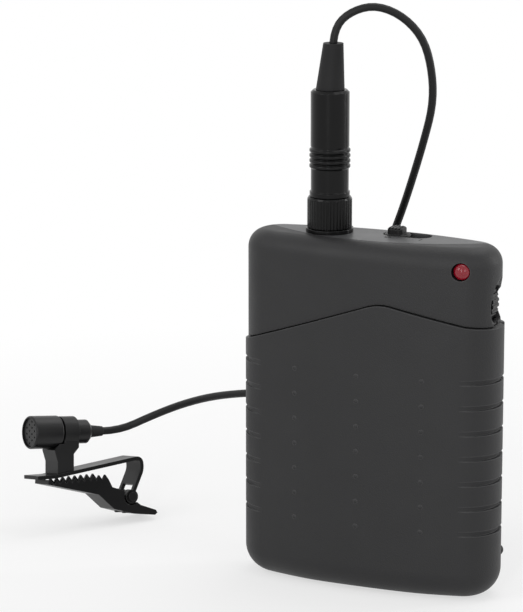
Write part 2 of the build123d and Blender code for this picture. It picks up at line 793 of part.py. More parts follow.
# ---- microphone ----------------------------------------------------------------------------------------
mic_side = Plane(mic_face, x_dir=mic_tail_dir, z_dir=mic_width_dir)
mic_round = Plane(mic_face, x_dir=mic_width_dir, z_dir=mic_tail_dir)
grille_depth = 0.5
with BuildPart() as mic_housing:
    with BuildSketch(mic_round):
        Circle(mic_radius)
    extrude(amount=mic_length)
    fillet(mic_housing.edges().filter_by(GeomType.CIRCLE), 0.5)
    with BuildSketch(mic_round):
        Circle(mic_radius - 0.55)
    extrude(amount=1.8, mode=Mode.SUBTRACT)
    with BuildSketch(mic_round):
        Circle(3.05)
    extrude(amount=mic_length - 1.2, mode=Mode.SUBTRACT)

mic_housing.part.label = "mic_housing"
export_step(mic_housing.part, "parts/mic_housing.step")

with BuildPart() as mic_grille:
    with BuildSketch(mic_round.offset(grille_depth)):
        Circle(mic_radius - 0.6)
        with HexLocations(0.85, 4, 4):
            Circle(0.3, mode=Mode.SUBTRACT)
    extrude(amount=0.7)

mic_grille.part.label = "mic_grille"
export_step(mic_grille.part, "parts/mic_grille.step")

with BuildPart() as mic_capsule:
    with BuildSketch(mic_round.offset(2.2)):
        Circle(3.0)
    extrude(amount=4.5)

mic_capsule.part.label = "mic_capsule"
export_step(mic_capsule.part, "parts/mic_capsule.step")

with BuildPart() as mic_rear_sleeve:
    with BuildSketch(mic_round.offset(mic_length)):
        Circle(mic_rear_radius)
    extrude(amount=mic_rear_end - mic_length)
    chamfer(mic_rear_sleeve.edges().filter_by(GeomType.CIRCLE).sort_by(Axis(mic_face, mic_tail_dir))[-1], 0.9)

mic_rear_sleeve.part.label = "mic_rear_sleeve"
export_step(mic_rear_sleeve.part, "parts/mic_rear_sleeve.step")

with BuildPart() as mic_strain_relief:
    with BuildSketch(mic_round.offset(mic_rear_end)):
        Circle(relief_radius)
    with BuildSketch(mic_round.offset(relief_end)):
        Circle(relief_radius - 0.45)
    loft()

mic_strain_relief.part.label = "mic_strain_relief"
export_step(mic_strain_relief.part, "parts/mic_strain_relief.step")

# ---- tie clip, drawn from its side: along the mic and up ------------------------------------------------
def side_extrude_plane(half):
    """The tie clip's side-view plane, moved so that an extrusion is centred on it."""
    return mic_side.offset(-half)


# the upper arm is one bent strip: a toe, a rising beam and a leg down to the pivot
arm_thickness = 1.0
arm_points = [(0.6, -12.3), (6.0, -12.1), (33.0, -7.4), (33.6, -10.5), tie_pin_at]
arm_rounds = [12.0, 1.4, 5.0]


def arm_top(along):
    """The height of the beam's upper face, a face's width clear of it."""
    (low_x, low_y), (high_x, high_y) = arm_points[1:3]
    slope = (high_y - low_y) / (high_x - low_x)
    return low_y + slope * (along - low_x) + arm_thickness / 2 * sqrt(1 + slope**2)


holder_low, holder_high = 9.2, 13.6
post_front, post_back = 7.0, 12.0
with BuildPart() as clip_holder:
    with BuildSketch(mic_round.offset(holder_low)):
        Circle(mic_rear_radius + 1.0)
    extrude(amount=holder_high - holder_low)
    with BuildSketch(side_extrude_plane(tie_half_width - 0.4)):
        with BuildLine():
            Polyline(
                (post_back, arm_top(post_back)),
                (post_back, -6.0),
                (holder_high, -4.2),
                (holder_high, -1.5),
                (holder_low, -1.5),
                (6.0, -4.9),
                (post_front, -8.0),
                (post_front, arm_top(post_front)),
                close=True,
            )
        make_face()
    extrude(amount=2 * tie_half_width - 0.8)
    with BuildSketch(mic_round.offset(holder_low - 5)):
        Circle(mic_rear_radius + 0.05)
    extrude(amount=20, mode=Mode.SUBTRACT)
    with BuildSketch(mic_round):
        Circle(mic_radius + 0.25)
    extrude(amount=holder_low - 0.1, mode=Mode.SUBTRACT)

clip_holder.part.label = "clip_holder"
export_step(clip_holder.part, "parts/clip_holder.step")

with BuildPart() as clip_arm:
    with BuildSketch(side_extrude_plane(tie_half_width)):
        with BuildLine() as arm_line:
            FilletPolyline(*arm_points, radius=arm_rounds)
        trace(line_width=arm_thickness)
    extrude(amount=2 * tie_half_width)
    with BuildSketch(side_extrude_plane(tie_half_width)):
        with Locations(tie_pin_at):
            Circle(1.9)
    extrude(amount=2 * tie_half_width)
    # the middle of the leg's end is open for the spring, and the pin runs through its ears
    with BuildSketch(side_extrude_plane(tie_half_width - 1.2)):
        with Locations((tie_pin_at[0], tie_pin_at[1] + 0.4)):
            Circle(3.1)
    extrude(amount=2 * tie_half_width - 2.4, mode=Mode.SUBTRACT)
    with BuildSketch(side_extrude_plane(tie_half_width + 1)):
        with Locations(tie_pin_at):
            Circle(tie_pin_radius + tie_pin_gap)
    extrude(amount=2 * tie_half_width + 2, mode=Mode.SUBTRACT)

clip_arm.part.label = "clip_arm"
export_step(clip_arm.part, "parts/clip_arm.step")

# the lower jaw is a toothed channel that turns on the pin between the arm's ears
ear_inner = 1.6
ear_outer = tie_half_width - 1.4
jaw_half_width = tie_half_width - 0.1
teeth_start, teeth_rise = (4.0, -13.0), 1.2
tooth_depth = 1.3
jaw_outline = [(3.9, -14.2), teeth_start]
for tooth in range(tooth_count):
    tip_x = teeth_start[0] + tooth * tooth_pitch
    tip_y = teeth_start[1] + teeth_rise * tooth / tooth_count
    jaw_outline += [(tip_x + 0.35 * tooth_pitch, tip_y), (tip_x + 0.9 * tooth_pitch, tip_y - tooth_depth)]
jaw_outline += [(24.0, -15.4), (27.6, -16.5), (33.0, -20.6), (37.9, -22.1), (38.4, -22.9), (37.6, -23.5)]
jaw_outline += [(31.0, -23.0), (24.6, -21.5), (19.7, -17.4)]
jaw_pocket = [(5.0, -13.4), (19.4, -16.3), (24.4, -20.4), (31.0, -22.0), (36.6, -22.4), (36.6, -8), (5.0, -8)]
with BuildPart() as clip_jaw:
    with BuildSketch(side_extrude_plane(jaw_half_width)):
        with BuildLine():
            Polyline(*jaw_outline, close=True)
        make_face()
    extrude(amount=2 * jaw_half_width)
    with BuildSketch(side_extrude_plane(jaw_half_width - jaw_wall)):
        with BuildLine():
            Polyline(*jaw_pocket, close=True)
        make_face()
    extrude(amount=2 * (jaw_half_width - jaw_wall), mode=Mode.SUBTRACT)
    with BuildSketch(side_extrude_plane(jaw_half_width)):
        with Locations(tie_pin_at):
            Circle(2.4)
    extrude(amount=2 * jaw_half_width, mode=Mode.SUBTRACT)
    for ear_low in (ear_inner, -ear_outer):
        with BuildSketch(mic_side.offset(ear_low)):
            with Locations(tie_pin_at):
                Circle(1.9)
            with Locations((tie_pin_at[0], tie_pin_at[1] - 2.3)):
                Rectangle(3.8, 4.6)
        extrude(amount=ear_outer - ear_inner)
    with BuildSketch(side_extrude_plane(tie_half_width)):
        with Locations(tie_pin_at):
            Circle(tie_pin_radius + tie_pin_gap)
    extrude(amount=2 * tie_half_width, mode=Mode.SUBTRACT)

clip_jaw.part.label = "clip_jaw"
export_step(clip_jaw.part, "parts/clip_jaw.step")

with BuildPart() as clip_pin:
    with BuildSketch(side_extrude_plane(tie_half_width + 0.1)):
        with Locations(tie_pin_at):
            Circle(tie_pin_radius)
    extrude(amount=2 * tie_half_width + 0.2)
    for head_low in (tie_half_width + 0.1, -tie_half_width - 0.5):
        with BuildSketch(mic_side.offset(head_low)):
            with Locations(tie_pin_at):
                Circle(tie_pin_radius + 0.5)
        extrude(amount=0.4)

clip_pin.part.label = "clip_pin"
export_step(clip_pin.part, "parts/clip_pin.step")

spring_turns, spring_wire = 4, 0.3
with BuildPart() as clip_spring:
    for turn in range(spring_turns):
        ring_at = mic_side.offset((turn - (spring_turns - 1) / 2) * 2 * spring_wire)
        with BuildSketch(ring_at.offset(-spring_wire - 0.01)):
            with Locations(tie_pin_at):
                Circle(tie_pin_radius + 0.95)
                Circle(tie_pin_radius + 0.1, mode=Mode.SUBTRACT)
        extrude(amount=2 * spring_wire + 0.02)

clip_spring.part.label = "clip_spring"
export_step(clip_spring.part, "parts/clip_spring.step")

# ---- belt clip -------------------------------------------------------------------------------------------
back_y = sleeve_half_depth
clip_outer_y = back_y + clip_reach
clip_inner_y = clip_outer_y - belt_strip
belt_pin_y = clip_outer_y - belt_knuckle_radius
grip_y = back_y + belt_grip_gap
strip_profile = [
    (clip_inner_y, belt_pin_z),
    (clip_inner_y, belt_bend_z),
    (grip_y, belt_grip_z),
    (grip_y + 3.2, belt_tip_z),
    (grip_y + 4.7, belt_tip_z + 0.8),
    (grip_y + 1.9, belt_grip_z),
    (clip_outer_y, belt_bend_z - 0.5),
    (clip_outer_y, belt_pin_z),
]
spring_half = 3.0
with BuildPart() as belt_clip:
    with BuildSketch(side.offset(-belt_half_width)):
        with BuildLine():
            FilletPolyline(*strip_profile, radius=0.5, close=True)
        make_face()
    extrude(amount=2 * belt_half_width)
    with BuildSketch(side.offset(-belt_half_width)):
        with Locations((belt_pin_y, belt_pin_z)):
            Circle(belt_knuckle_radius)
    extrude(amount=2 * belt_half_width)
    with Locations(spot(0, belt_pin_y, belt_pin_z)):
        Box(2 * spring_half + 0.8, 12, 7.4, mode=Mode.SUBTRACT)
    with BuildSketch(side.offset(-belt_half_width)):
        with Locations((belt_pin_y, belt_pin_z)):
            Circle(belt_pin_radius + belt_pin_gap)
    extrude(amount=2 * belt_half_width, mode=Mode.SUBTRACT)
    # the corners of the tip are rounded
    with BuildSketch(face_at(0)):
        with Locations((0, (belt_pin_z + belt_tip_z) / 2 + 2)):
            RectangleRounded(2 * belt_half_width, belt_pin_z - belt_tip_z + 6, 4.0)
    extrude(amount=-BIG, mode=Mode.INTERSECT)

belt_clip.part.label = "belt_clip"
export_step(belt_clip.part, "parts/belt_clip.step")

ear_start = belt_half_width + 0.25
plate_y = half_depth + bracket_plate
with BuildPart() as belt_clip_bracket:
    with BuildSketch(face_at(half_depth - 2)):
        with Locations((0, (bracket_bottom + bracket_top) / 2)):
            RectangleRounded(2 * (ear_start + ear_thickness), bracket_top - bracket_bottom, 1.5)
    extrude(amount=-(bracket_plate + 2))
    for ear_x in (ear_start, -ear_start - ear_thickness):
        with BuildSketch(side.offset(ear_x)):
            with Locations((belt_pin_y, belt_pin_z)):
                Circle(belt_knuckle_radius)
            with Locations(((half_depth - 1 + belt_pin_y) / 2, belt_pin_z)):
                Rectangle(belt_pin_y - half_depth + 1, 2 * belt_knuckle_radius)
        extrude(amount=ear_thickness)
    add(upper_form, mode=Mode.SUBTRACT)
    with BuildSketch(side.offset(-ear_start - ear_thickness + 0.8)):
        with Locations((belt_pin_y, belt_pin_z)):
            Circle(belt_pin_radius + 0.02)
    extrude(amount=2 * (ear_start + ear_thickness - 0.8), mode=Mode.SUBTRACT)
    with BuildSketch(face_at(plate_y)):
        with Locations(*[(0, z) for z in bracket_screw_zs]):
            Circle(screw_radius + screw_hole_gap)
    extrude(amount=BIG, mode=Mode.SUBTRACT)

belt_clip_bracket.part.label = "belt_clip_bracket"
export_step(belt_clip_bracket.part, "parts/belt_clip_bracket.step")

with BuildPart() as belt_clip_pin:
    with BuildSketch(side.offset(-ear_start - ear_thickness + 0.9)):
        with Locations((belt_pin_y, belt_pin_z)):
            Circle(belt_pin_radius)
    extrude(amount=2 * (ear_start + ear_thickness - 0.9))

belt_clip_pin.part.label = "belt_clip_pin"
export_step(belt_clip_pin.part, "parts/belt_clip_pin.step")

belt_spring_turns, belt_spring_wire = 7, 0.35
with BuildPart() as belt_clip_spring:
    for turn in range(belt_spring_turns):
        turn_x = (turn - (belt_spring_turns - 1) / 2) * 2 * belt_spring_wire
        with BuildSketch(side.offset(turn_x - belt_spring_wire - 0.01)):
            with Locations((belt_pin_y, belt_pin_z)):
                Circle(belt_pin_radius + 0.8)
                Circle(belt_pin_radius + 0.1, mode=Mode.SUBTRACT)
        extrude(amount=2 * belt_spring_wire + 0.02)

belt_clip_spring.part.label = "belt_clip_spring"
export_step(belt_clip_spring.part, "parts/belt_clip_spring.step")

screw_tip_y = board_y + board_thickness + 0.8
with BuildPart() as bracket_screws:
    with BuildSketch(face_at(screw_tip_y)):
        with Locations(*[(0, z) for z in bracket_screw_zs]):
            Circle(screw_radius)
    extrude(amount=-(plate_y - screw_tip_y))
    with BuildSketch(face_at(plate_y)):
        with Locations(*[(0, z) for z in bracket_screw_zs]):
            Circle(screw_head_radius - 0.2)
    extrude(amount=-1.0)
    with BuildSketch(face_at(plate_y + 1.0)):
        with Locations(*[(0, z) for z in bracket_screw_zs]):
            Rectangle(2.4, 0.5)
            Rectangle(0.5, 2.4)
    extrude(amount=0.6, mode=Mode.SUBTRACT)

bracket_screws.part.label = "bracket_screws"
export_step(bracket_screws.part, "parts/bracket_screws.step")

# ---- the microphone's cord -----------------------------------------------------------------------------------
# from the plug's boot: a standing loop, over the back edge and down beside the belt clip to the coil
loop_route = [
    (-12.1, -2.5, 141.1),
    (-11.8, -2.3, 145.2),
    (-8.3, -0.5, 149.1),
    (-2.7, 2.5, 150.8),
    (3.4, 6.0, 148.0),
    (8.2, 8.8, 142.0),
    (9.7, 11.1, 133.4),
    (9.4, 12.8, 124.5),
    (6.3, 14.5, 114.6),
    (2.5, 16.3, 104.0),
    (-1.5, 18.3, 93.9),
    (-6.6, 20.3, 82.5),
    (-12.2, 21.4, 70.5),
    (-16.0, 21.8, 57.5),
    (-17.4, 22.3, 44.5),
    (-17.0, 24.0, 32.0),
    (-16.2, 27.5, 20.5),
    (-16.0, 32.6, 11.5),
    (-15.6, 38.4, 5.6),
]
# from the coil: up behind the pack, held by the belt clip, and out to the microphone
lead_route = [
    (8.0, 35.5, 5.0),
    (9.2, 28.6, 8.4),
    (13.2, 23.6, 15.2),
    (17.6, 19.8, 24.0),
    (20.0, 15.5, 34.3),
    (15.0, 12.1, 43.2),
    (4.3, 11.2, 45.1),
    (-13.5, 11.3, 45.4),
    (-33.0, 14.9, 43.3),
    (-49.0, 19.5, 40.1),
    (-60.1, 24.0, 36.9),
    (-70.4, 27.0, 32.9),
    (-79.5, 26.9, 28.6),
    (-87.2, 23.2, 24.6),
    (-90.46, 18.36, 25.24),
]


def route_rounds(points):
    """Each corner's radius: as large as its two runs allow."""
    rounds = []
    for before, corner, after in zip(points, points[1:], points[2:]):
        arrive = Vector(corner) - Vector(before)
        leave = Vector(after) - Vector(corner)
        turn = radians(arrive.get_angle(leave))
        rounds.append(0.45 * min(arrive.length, leave.length) / tan(turn / 2))
    return rounds


def cord_tube(points, name):
    """A round tube along straight runs joined by tangent arcs."""
    rounds = route_rounds(points)
    with BuildPart() as tube:
        with BuildLine() as path:
            FilletPolyline(*points, radius=rounds)
        with BuildSketch(Plane(path.line @ 0, z_dir=path.line % 0)):
            Circle(cord_radius)
        sweep(path=path.line)
    length = sum(edge.length for edge in path.edges())
    filled = tube.part.volume / (pi * cord_radius**2 * length)
    print(name, "radii", [round(r, 1) for r in rounds])
    print(name, "length", round(length, 1), "volume over section times length", round(filled, 4))
    return tube.part


with BuildPart() as mic_cord_loop:
    add(cord_tube(loop_route, "mic_cord_loop"))

mic_cord_loop.part.label = "mic_cord_loop"
export_step(mic_cord_loop.part, "parts/mic_cord_loop.step")

with BuildPart() as mic_cord_lead:
    add(cord_tube(lead_route, "mic_cord_lead"))

mic_cord_lead.part.label = "mic_cord_lead"
export_step(mic_cord_lead.part, "parts/mic_cord_lead.step")

coil_at = Plane((*coil_centre, coil_lift))
with BuildPart() as mic_cord_coil:
    with BuildSketch(coil_at):
        Circle(coil_radius + coil_width / 2)
        Circle(coil_radius - coil_width / 2, mode=Mode.SUBTRACT)
    extrude(amount=coil_height)
    fillet(mic_cord_coil.edges().filter_by(GeomType.CIRCLE), 1.8)

mic_cord_coil.part.label = "mic_cord_coil"
export_step(mic_cord_coil.part, "parts/mic_cord_coil.step")

tie_length = 5.0
tie_gap = 0.1
tie_centre = (coil_centre[0], coil_centre[1] + coil_radius, coil_lift + coil_height / 2)
tie_across, tie_tall = coil_width + 2 * tie_gap + 0.6, coil_height + 2 * tie_gap
with BuildPart() as cord_tie:
    with BuildSketch(Plane(tie_centre, x_dir=(0, 1, 0), z_dir=(1, 0, 0)).offset(-tie_length / 2)):
        RectangleRounded(tie_across + 2 * tie_band, tie_tall + 2 * tie_band, 1.2)
        RectangleRounded(tie_across, tie_tall, 0.8, mode=Mode.SUBTRACT)
    extrude(amount=tie_length)

cord_tie.part.label = "cord_tie"
export_step(cord_tie.part, "parts/cord_tie.step")
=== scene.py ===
"""A wireless bodypack transmitter with its lapel microphone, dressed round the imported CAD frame."""

import logging
import math
from dataclasses import dataclass, field
from enum import Enum

import bpy
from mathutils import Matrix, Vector

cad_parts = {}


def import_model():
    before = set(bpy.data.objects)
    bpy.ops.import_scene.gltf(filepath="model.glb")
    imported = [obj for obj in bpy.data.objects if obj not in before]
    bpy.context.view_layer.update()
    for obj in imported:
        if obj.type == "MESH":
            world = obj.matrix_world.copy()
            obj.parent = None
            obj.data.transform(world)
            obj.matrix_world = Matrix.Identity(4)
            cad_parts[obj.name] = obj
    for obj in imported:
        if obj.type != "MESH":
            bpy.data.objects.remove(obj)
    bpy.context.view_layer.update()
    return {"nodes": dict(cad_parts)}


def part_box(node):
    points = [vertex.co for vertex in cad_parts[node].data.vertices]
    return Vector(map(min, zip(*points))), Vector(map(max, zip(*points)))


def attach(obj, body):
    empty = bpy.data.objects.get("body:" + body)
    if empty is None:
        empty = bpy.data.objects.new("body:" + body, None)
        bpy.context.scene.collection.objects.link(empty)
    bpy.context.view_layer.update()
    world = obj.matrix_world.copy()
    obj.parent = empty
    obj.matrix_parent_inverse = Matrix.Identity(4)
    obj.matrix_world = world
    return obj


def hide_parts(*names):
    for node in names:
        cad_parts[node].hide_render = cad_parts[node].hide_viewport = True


LOG = logging.getLogger("bodypack")
MM = 0.001
STEPS_PER_SPRING_TURN = 24
COAT_ROUGHNESS = 0.12
# Least colour added to an edge that carries a painted highlight.
PAINTED_HIGHLIGHT_FLOOR = 0.03

Point = tuple[float, float, float]
Colour = tuple[float, float, float]

LOOP_ROUTE: list[Point] = [
    (-12.1, -2.5, 141.1),
    (-11.8, -2.3, 145.2),
    (-8.3, -0.5, 149.1),
    (-2.7, 2.5, 150.8),
    (3.4, 6.0, 148.0),
    (8.2, 8.8, 142.0),
    (9.7, 11.1, 133.4),
    (9.4, 12.8, 124.5),
    (6.3, 14.5, 114.6),
    (2.5, 16.3, 104.0),
    (-1.5, 18.3, 93.9),
    (-6.6, 20.3, 82.5),
    (-12.2, 21.4, 70.5),
    (-16.0, 21.8, 57.5),
    (-17.4, 22.3, 44.5),
    (-17.0, 24.0, 32.0),
    (-16.2, 27.5, 20.5),
    (-16.0, 32.6, 11.5),
    (-15.6, 38.4, 5.6),
]
LEAD_ROUTE: list[Point] = [
    (8.0, 35.5, 5.0),
    (9.2, 28.6, 8.4),
    (13.2, 23.6, 15.2),
    (17.6, 19.8, 24.0),
    (20.0, 15.5, 34.3),
    (15.0, 12.1, 43.2),
    (4.3, 11.2, 45.1),
    (-13.5, 11.3, 45.4),
    (-33.0, 14.9, 43.3),
    (-49.0, 19.5, 40.1),
    (-60.1, 24.0, 36.9),
    (-70.4, 27.0, 32.9),
    (-79.5, 26.9, 28.6),
    (-87.2, 23.2, 24.6),
    (-90.46, 18.36, 25.24),
]


class Pattern(Enum):
    """The surface relief that a finish carries."""

    GRAIN = "grain"
    BRUSHED = "brushed"
    WOVEN = "woven"
    PLAIN = "plain"


class Body(Enum):
    """The body of the frame that the cord and the springs ride."""

    PACK = "pack"


@dataclass(frozen=True)
class Finish:
    """One surface finish, with plain numbers only.

    Attributes:
        slot: Material slot of the record that it belongs to.
        colour: Linear base colour.
        roughness: Mean roughness.
        metallic: Metallic value.
        pattern: Relief of the surface.
        scale: Pattern size, in repeats per metre.
        height: Relief height, in metres.
        drift: How far the colour wanders.
        smudge: How far the roughness wanders.
        edge_lift: How much of the edge tone shows on edges: a painted highlight, and on the panel a dark
            seam.
        edge_shade: Brightness of edges against the base colour; over 1 they are lighter, a painted
            highlight; under 1 they are dark, as a seam is.
        edge_radius: How far from an edge its shade reaches, in metres.
        coat: Clear coat weight.
        specular: Specular level.
        transmission: Transmission weight.
    """

    slot: str
    colour: Colour
    roughness: float = 0.5
    metallic: float = 0.0
    pattern: Pattern = Pattern.GRAIN
    scale: float = 2600.0
    height: float = 0.00004
    drift: float = 0.12
    smudge: float = 0.08
    edge_lift: float = 0.25
    edge_shade: float = 2.2
    edge_radius: float = 0.00025
    coat: float = 0.0
    specular: float = 0.5
    transmission: float = 0.0


# Edge tone of each finish: an edge_shade over 1 paints a lighter highlight on edges, weighted by edge_lift.
CASE = Finish(
    "case_plastic", (0.0185, 0.0185, 0.0193), 0.5, height=0.00006, edge_lift=0.9,
    edge_radius=0.0004, specular=0.3,
)
# The panel's colour is the case plastic painted about three times lighter, as painted top light on a face
# turned up; its edges get a dark seam colour.
PAINTED_TOP_LIGHT_PANEL = Finish(
    "panel_plastic", (0.055, 0.056, 0.058), 0.4, height=0.00003, edge_lift=1.0, edge_shade=0.05,
    edge_radius=0.0006,
)
BLACK = Finish("black_plastic", (0.006, 0.006, 0.0063), 0.42, height=0.00002, specular=0.25)
GLOSS = Finish(
    "gloss_black", (0.0015, 0.0015, 0.0016), 0.2, pattern=Pattern.PLAIN, height=0.000004, specular=0.2
)
CORD = Finish(
    "cord_rubber", (0.006, 0.006, 0.0064), 0.45, scale=5200.0, height=0.00001, edge_lift=0.0,
    specular=0.25,
)
BOOT = Finish("boot_rubber", (0.007, 0.007, 0.0074), 0.6, scale=3600.0, height=0.00003, specular=0.25)
STEEL_BLACK = Finish(
    "clip_steel", (0.005, 0.005, 0.0053), 0.34, 0.0, Pattern.BRUSHED, 1800.0, 0.000008,
    edge_lift=0.6, specular=0.18,
)
MIC = Finish(
    "mic_metal", (0.006, 0.006, 0.0064), 0.36, 0.0, Pattern.BRUSHED, 2400.0, 0.000006, specular=0.3,
)
STEEL = Finish(
    "bright_steel", (0.6, 0.6, 0.61), 0.26, 1.0, Pattern.BRUSHED, 2200.0, 0.000006, edge_lift=0.1,
)
BRASS = Finish(
    "brass_contact", (0.7, 0.55, 0.3), 0.28, 1.0, Pattern.BRUSHED, 2200.0, 0.000006, edge_lift=0.1,
)
LED = Finish(
    "led_red", (0.24, 0.002, 0.012), 0.1, pattern=Pattern.PLAIN, scale=900.0, height=0.000003,
    coat=0.0, specular=0.5,
    transmission=0.15,
)
BOARD = Finish(
    "board_green", (0.02, 0.12, 0.05), 0.3, pattern=Pattern.WOVEN, scale=900.0, height=0.00001,
)
WRAP = Finish("cell_wrap", (0.05, 0.06, 0.09), 0.22, pattern=Pattern.PLAIN, scale=500.0, height=0.000006)


class GroupMaker:
    """Builds the shared shader node groups, each once."""

    def __init__(self) -> None:
        self._made: dict[str, bpy.types.NodeTree] = {}

    def _start(self, name: str, sockets: list[tuple[str, str, str]]) -> tuple:
        """Starts a group.

        Args:
            name: Group name.
            sockets: Socket name, "INPUT" or "OUTPUT", and socket type.

        Returns:
            The tree, its input node and its output node.
        """
        tree = bpy.data.node_groups.new(name, "ShaderNodeTree")
        for label, side, kind in sockets:
            tree.interface.new_socket(name=label, in_out=side, socket_type=kind)
        self._made[name] = tree
        return tree, tree.nodes.new("NodeGroupInput"), tree.nodes.new("NodeGroupOutput")

    def drift(self) -> bpy.types.NodeTree:
        """Group that lets a colour wander a little over a piece.

        Returns:
            The group, with Colour, Vector and Amount in and Colour out.
        """
        if "ColourDrift" in self._made:
            return self._made["ColourDrift"]
        tree, inp, out = self._start(
            "ColourDrift",
            [
                ("Colour", "INPUT", "NodeSocketColor"),
                ("Vector", "INPUT", "NodeSocketVector"),
                ("Amount", "INPUT", "NodeSocketFloat"),
                ("Colour", "OUTPUT", "NodeSocketColor"),
            ],
        )
        nodes, links = tree.nodes, tree.links
        noise = nodes.new("ShaderNodeTexNoise")
        noise.inputs["Scale"].default_value = 90.0
        noise.inputs["Detail"].default_value = 4.0
        spread = nodes.new("ShaderNodeMath")
        spread.operation = "MULTIPLY_ADD"
        spread.inputs[2].default_value = 1.0
        centred = nodes.new("ShaderNodeMath")
        centred.operation = "SUBTRACT"
        centred.inputs[1].default_value = 0.5
        scaled = nodes.new("ShaderNodeVectorMath")
        scaled.operation = "SCALE"
        links.new(inp.outputs["Vector"], noise.inputs["Vector"])
        links.new(noise.outputs["Fac"], centred.inputs[0])
        links.new(centred.outputs[0], spread.inputs[0])
        links.new(inp.outputs["Amount"], spread.inputs[1])
        links.new(inp.outputs["Colour"], scaled.inputs[0])
        links.new(spread.outputs[0], scaled.inputs["Scale"])
        links.new(scaled.outputs[0], out.inputs["Colour"])
        return tree

    def smudge(self) -> bpy.types.NodeTree:
        """Group that lets the roughness wander, as handling does.

        Returns:
            The group, with Vector, Roughness and Spread in and Roughness out.
        """
        if "Smudge" in self._made:
            return self._made["Smudge"]
        tree, inp, out = self._start(
            "Smudge",
            [
                ("Vector", "INPUT", "NodeSocketVector"),
                ("Roughness", "INPUT", "NodeSocketFloat"),
                ("Spread", "INPUT", "NodeSocketFloat"),
                ("Roughness", "OUTPUT", "NodeSocketFloat"),
            ],
        )
        nodes, links = tree.nodes, tree.links
        noise = nodes.new("ShaderNodeTexNoise")
        noise.inputs["Scale"].default_value = 140.0
        noise.inputs["Detail"].default_value = 5.0
        centred = nodes.new("ShaderNodeMath")
        centred.operation = "SUBTRACT"
        centred.inputs[1].default_value = 0.5
        total = nodes.new("ShaderNodeMath")
        total.operation = "MULTIPLY_ADD"
        total.use_clamp = True
        links.new(inp.outputs["Vector"], noise.inputs["Vector"])
        links.new(noise.outputs["Fac"], centred.inputs[0])
        links.new(centred.outputs[0], total.inputs[0])
        links.new(inp.outputs["Spread"], total.inputs[1])
        links.new(inp.outputs["Roughness"], total.inputs[2])
        links.new(total.outputs[0], out.inputs["Roughness"])
        return tree

    def edge(self) -> bpy.types.NodeTree:
        """Group that rounds edges in the shading and finds where they are.

        Returns:
            The group, with Radius in, and Normal and Mask out.
        """
        if "EdgeLift" in self._made:
            return self._made["EdgeLift"]
        tree, inp, out = self._start(
            "EdgeLift",
            [
                ("Radius", "INPUT", "NodeSocketFloat"),
                ("Normal", "OUTPUT", "NodeSocketVector"),
                ("Mask", "OUTPUT", "NodeSocketFloat"),
            ],
        )
        nodes, links = tree.nodes, tree.links
        bevel = nodes.new("ShaderNodeBevel")
        bevel.samples = 6
        geometry = nodes.new("ShaderNodeNewGeometry")
        dot = nodes.new("ShaderNodeVectorMath")
        dot.operation = "DOT_PRODUCT"
        mask = nodes.new("ShaderNodeMapRange")
        mask.inputs["From Min"].default_value = 0.998
        mask.inputs["From Max"].default_value = 0.86
        links.new(inp.outputs["Radius"], bevel.inputs["Radius"])
        links.new(bevel.outputs["Normal"], dot.inputs[0])
        links.new(geometry.outputs["Normal"], dot.inputs[1])
        links.new(dot.outputs["Value"], mask.inputs["Value"])
        links.new(bevel.outputs["Normal"], out.inputs["Normal"])
        links.new(mask.outputs["Result"], out.inputs["Mask"])
        return tree

    def relief(self, pattern: Pattern) -> bpy.types.NodeTree:
        """Group that puts a fine relief on a surface.

        Args:
            pattern: The kind of relief.

        Returns:
            The group, with Vector, Normal, Scale and Height in and Normal and Value out.
        """
        name = f"Relief_{pattern.value}"
        if name in self._made:
            return self._made[name]
        tree, inp, out = self._start(
            name,
            [
                ("Vector", "INPUT", "NodeSocketVector"),
                ("Normal", "INPUT", "NodeSocketVector"),
                ("Scale", "INPUT", "NodeSocketFloat"),
                ("Height", "INPUT", "NodeSocketFloat"),
                ("Normal", "OUTPUT", "NodeSocketVector"),
                ("Value", "OUTPUT", "NodeSocketFloat"),
            ],
        )
        nodes, links = tree.nodes, tree.links
        bump = nodes.new("ShaderNodeBump")
        if pattern is Pattern.WOVEN:
            value = self._weave(tree, inp)
        else:
            value = self._noise(tree, inp, pattern)
        links.new(value, bump.inputs["Height"])
        links.new(inp.outputs["Height"], bump.inputs["Distance"])
        links.new(inp.outputs["Normal"], bump.inputs["Normal"])
        links.new(bump.outputs["Normal"], out.inputs["Normal"])
        links.new(value, out.inputs["Value"])
        return tree

    def _noise(
        self, tree: bpy.types.NodeTree, inp: bpy.types.Node, pattern: Pattern
    ) -> bpy.types.NodeSocket:
        """Noise relief, stretched along X when it is brushed.

        Args:
            tree: The group being built.
            inp: Its input node.
            pattern: The kind of relief.

        Returns:
            The socket with the height value.
        """
        noise = tree.nodes.new("ShaderNodeTexNoise")
        noise.inputs["Detail"].default_value = 3.0 if pattern is Pattern.GRAIN else 2.0
        stretch = tree.nodes.new("ShaderNodeMapping")
        if pattern is Pattern.BRUSHED:
            stretch.inputs["Scale"].default_value = (0.05, 1.0, 1.0)
        tree.links.new(inp.outputs["Vector"], stretch.inputs["Vector"])
        tree.links.new(stretch.outputs["Vector"], noise.inputs["Vector"])
        tree.links.new(inp.outputs["Scale"], noise.inputs["Scale"])
        return noise.outputs["Fac"]

    def _weave(self, tree: bpy.types.NodeTree, inp: bpy.types.Node) -> bpy.types.NodeSocket:
        """Two crossing waves, as woven thread has.

        Args:
            tree: The group being built.
            inp: Its input node.

        Returns:
            The socket with the height value.
        """
        values = []
        for direction in ("X", "Z"):
            wave = tree.nodes.new("ShaderNodeTexWave")
            wave.bands_direction = direction
            tree.links.new(inp.outputs["Vector"], wave.inputs["Vector"])
            tree.links.new(inp.outputs["Scale"], wave.inputs["Scale"])
            values.append(wave.outputs["Fac"])
        both = tree.nodes.new("ShaderNodeMath")
        both.operation = "MAXIMUM"
        tree.links.new(values[0], both.inputs[0])
        tree.links.new(values[1], both.inputs[1])
        return both.outputs[0]


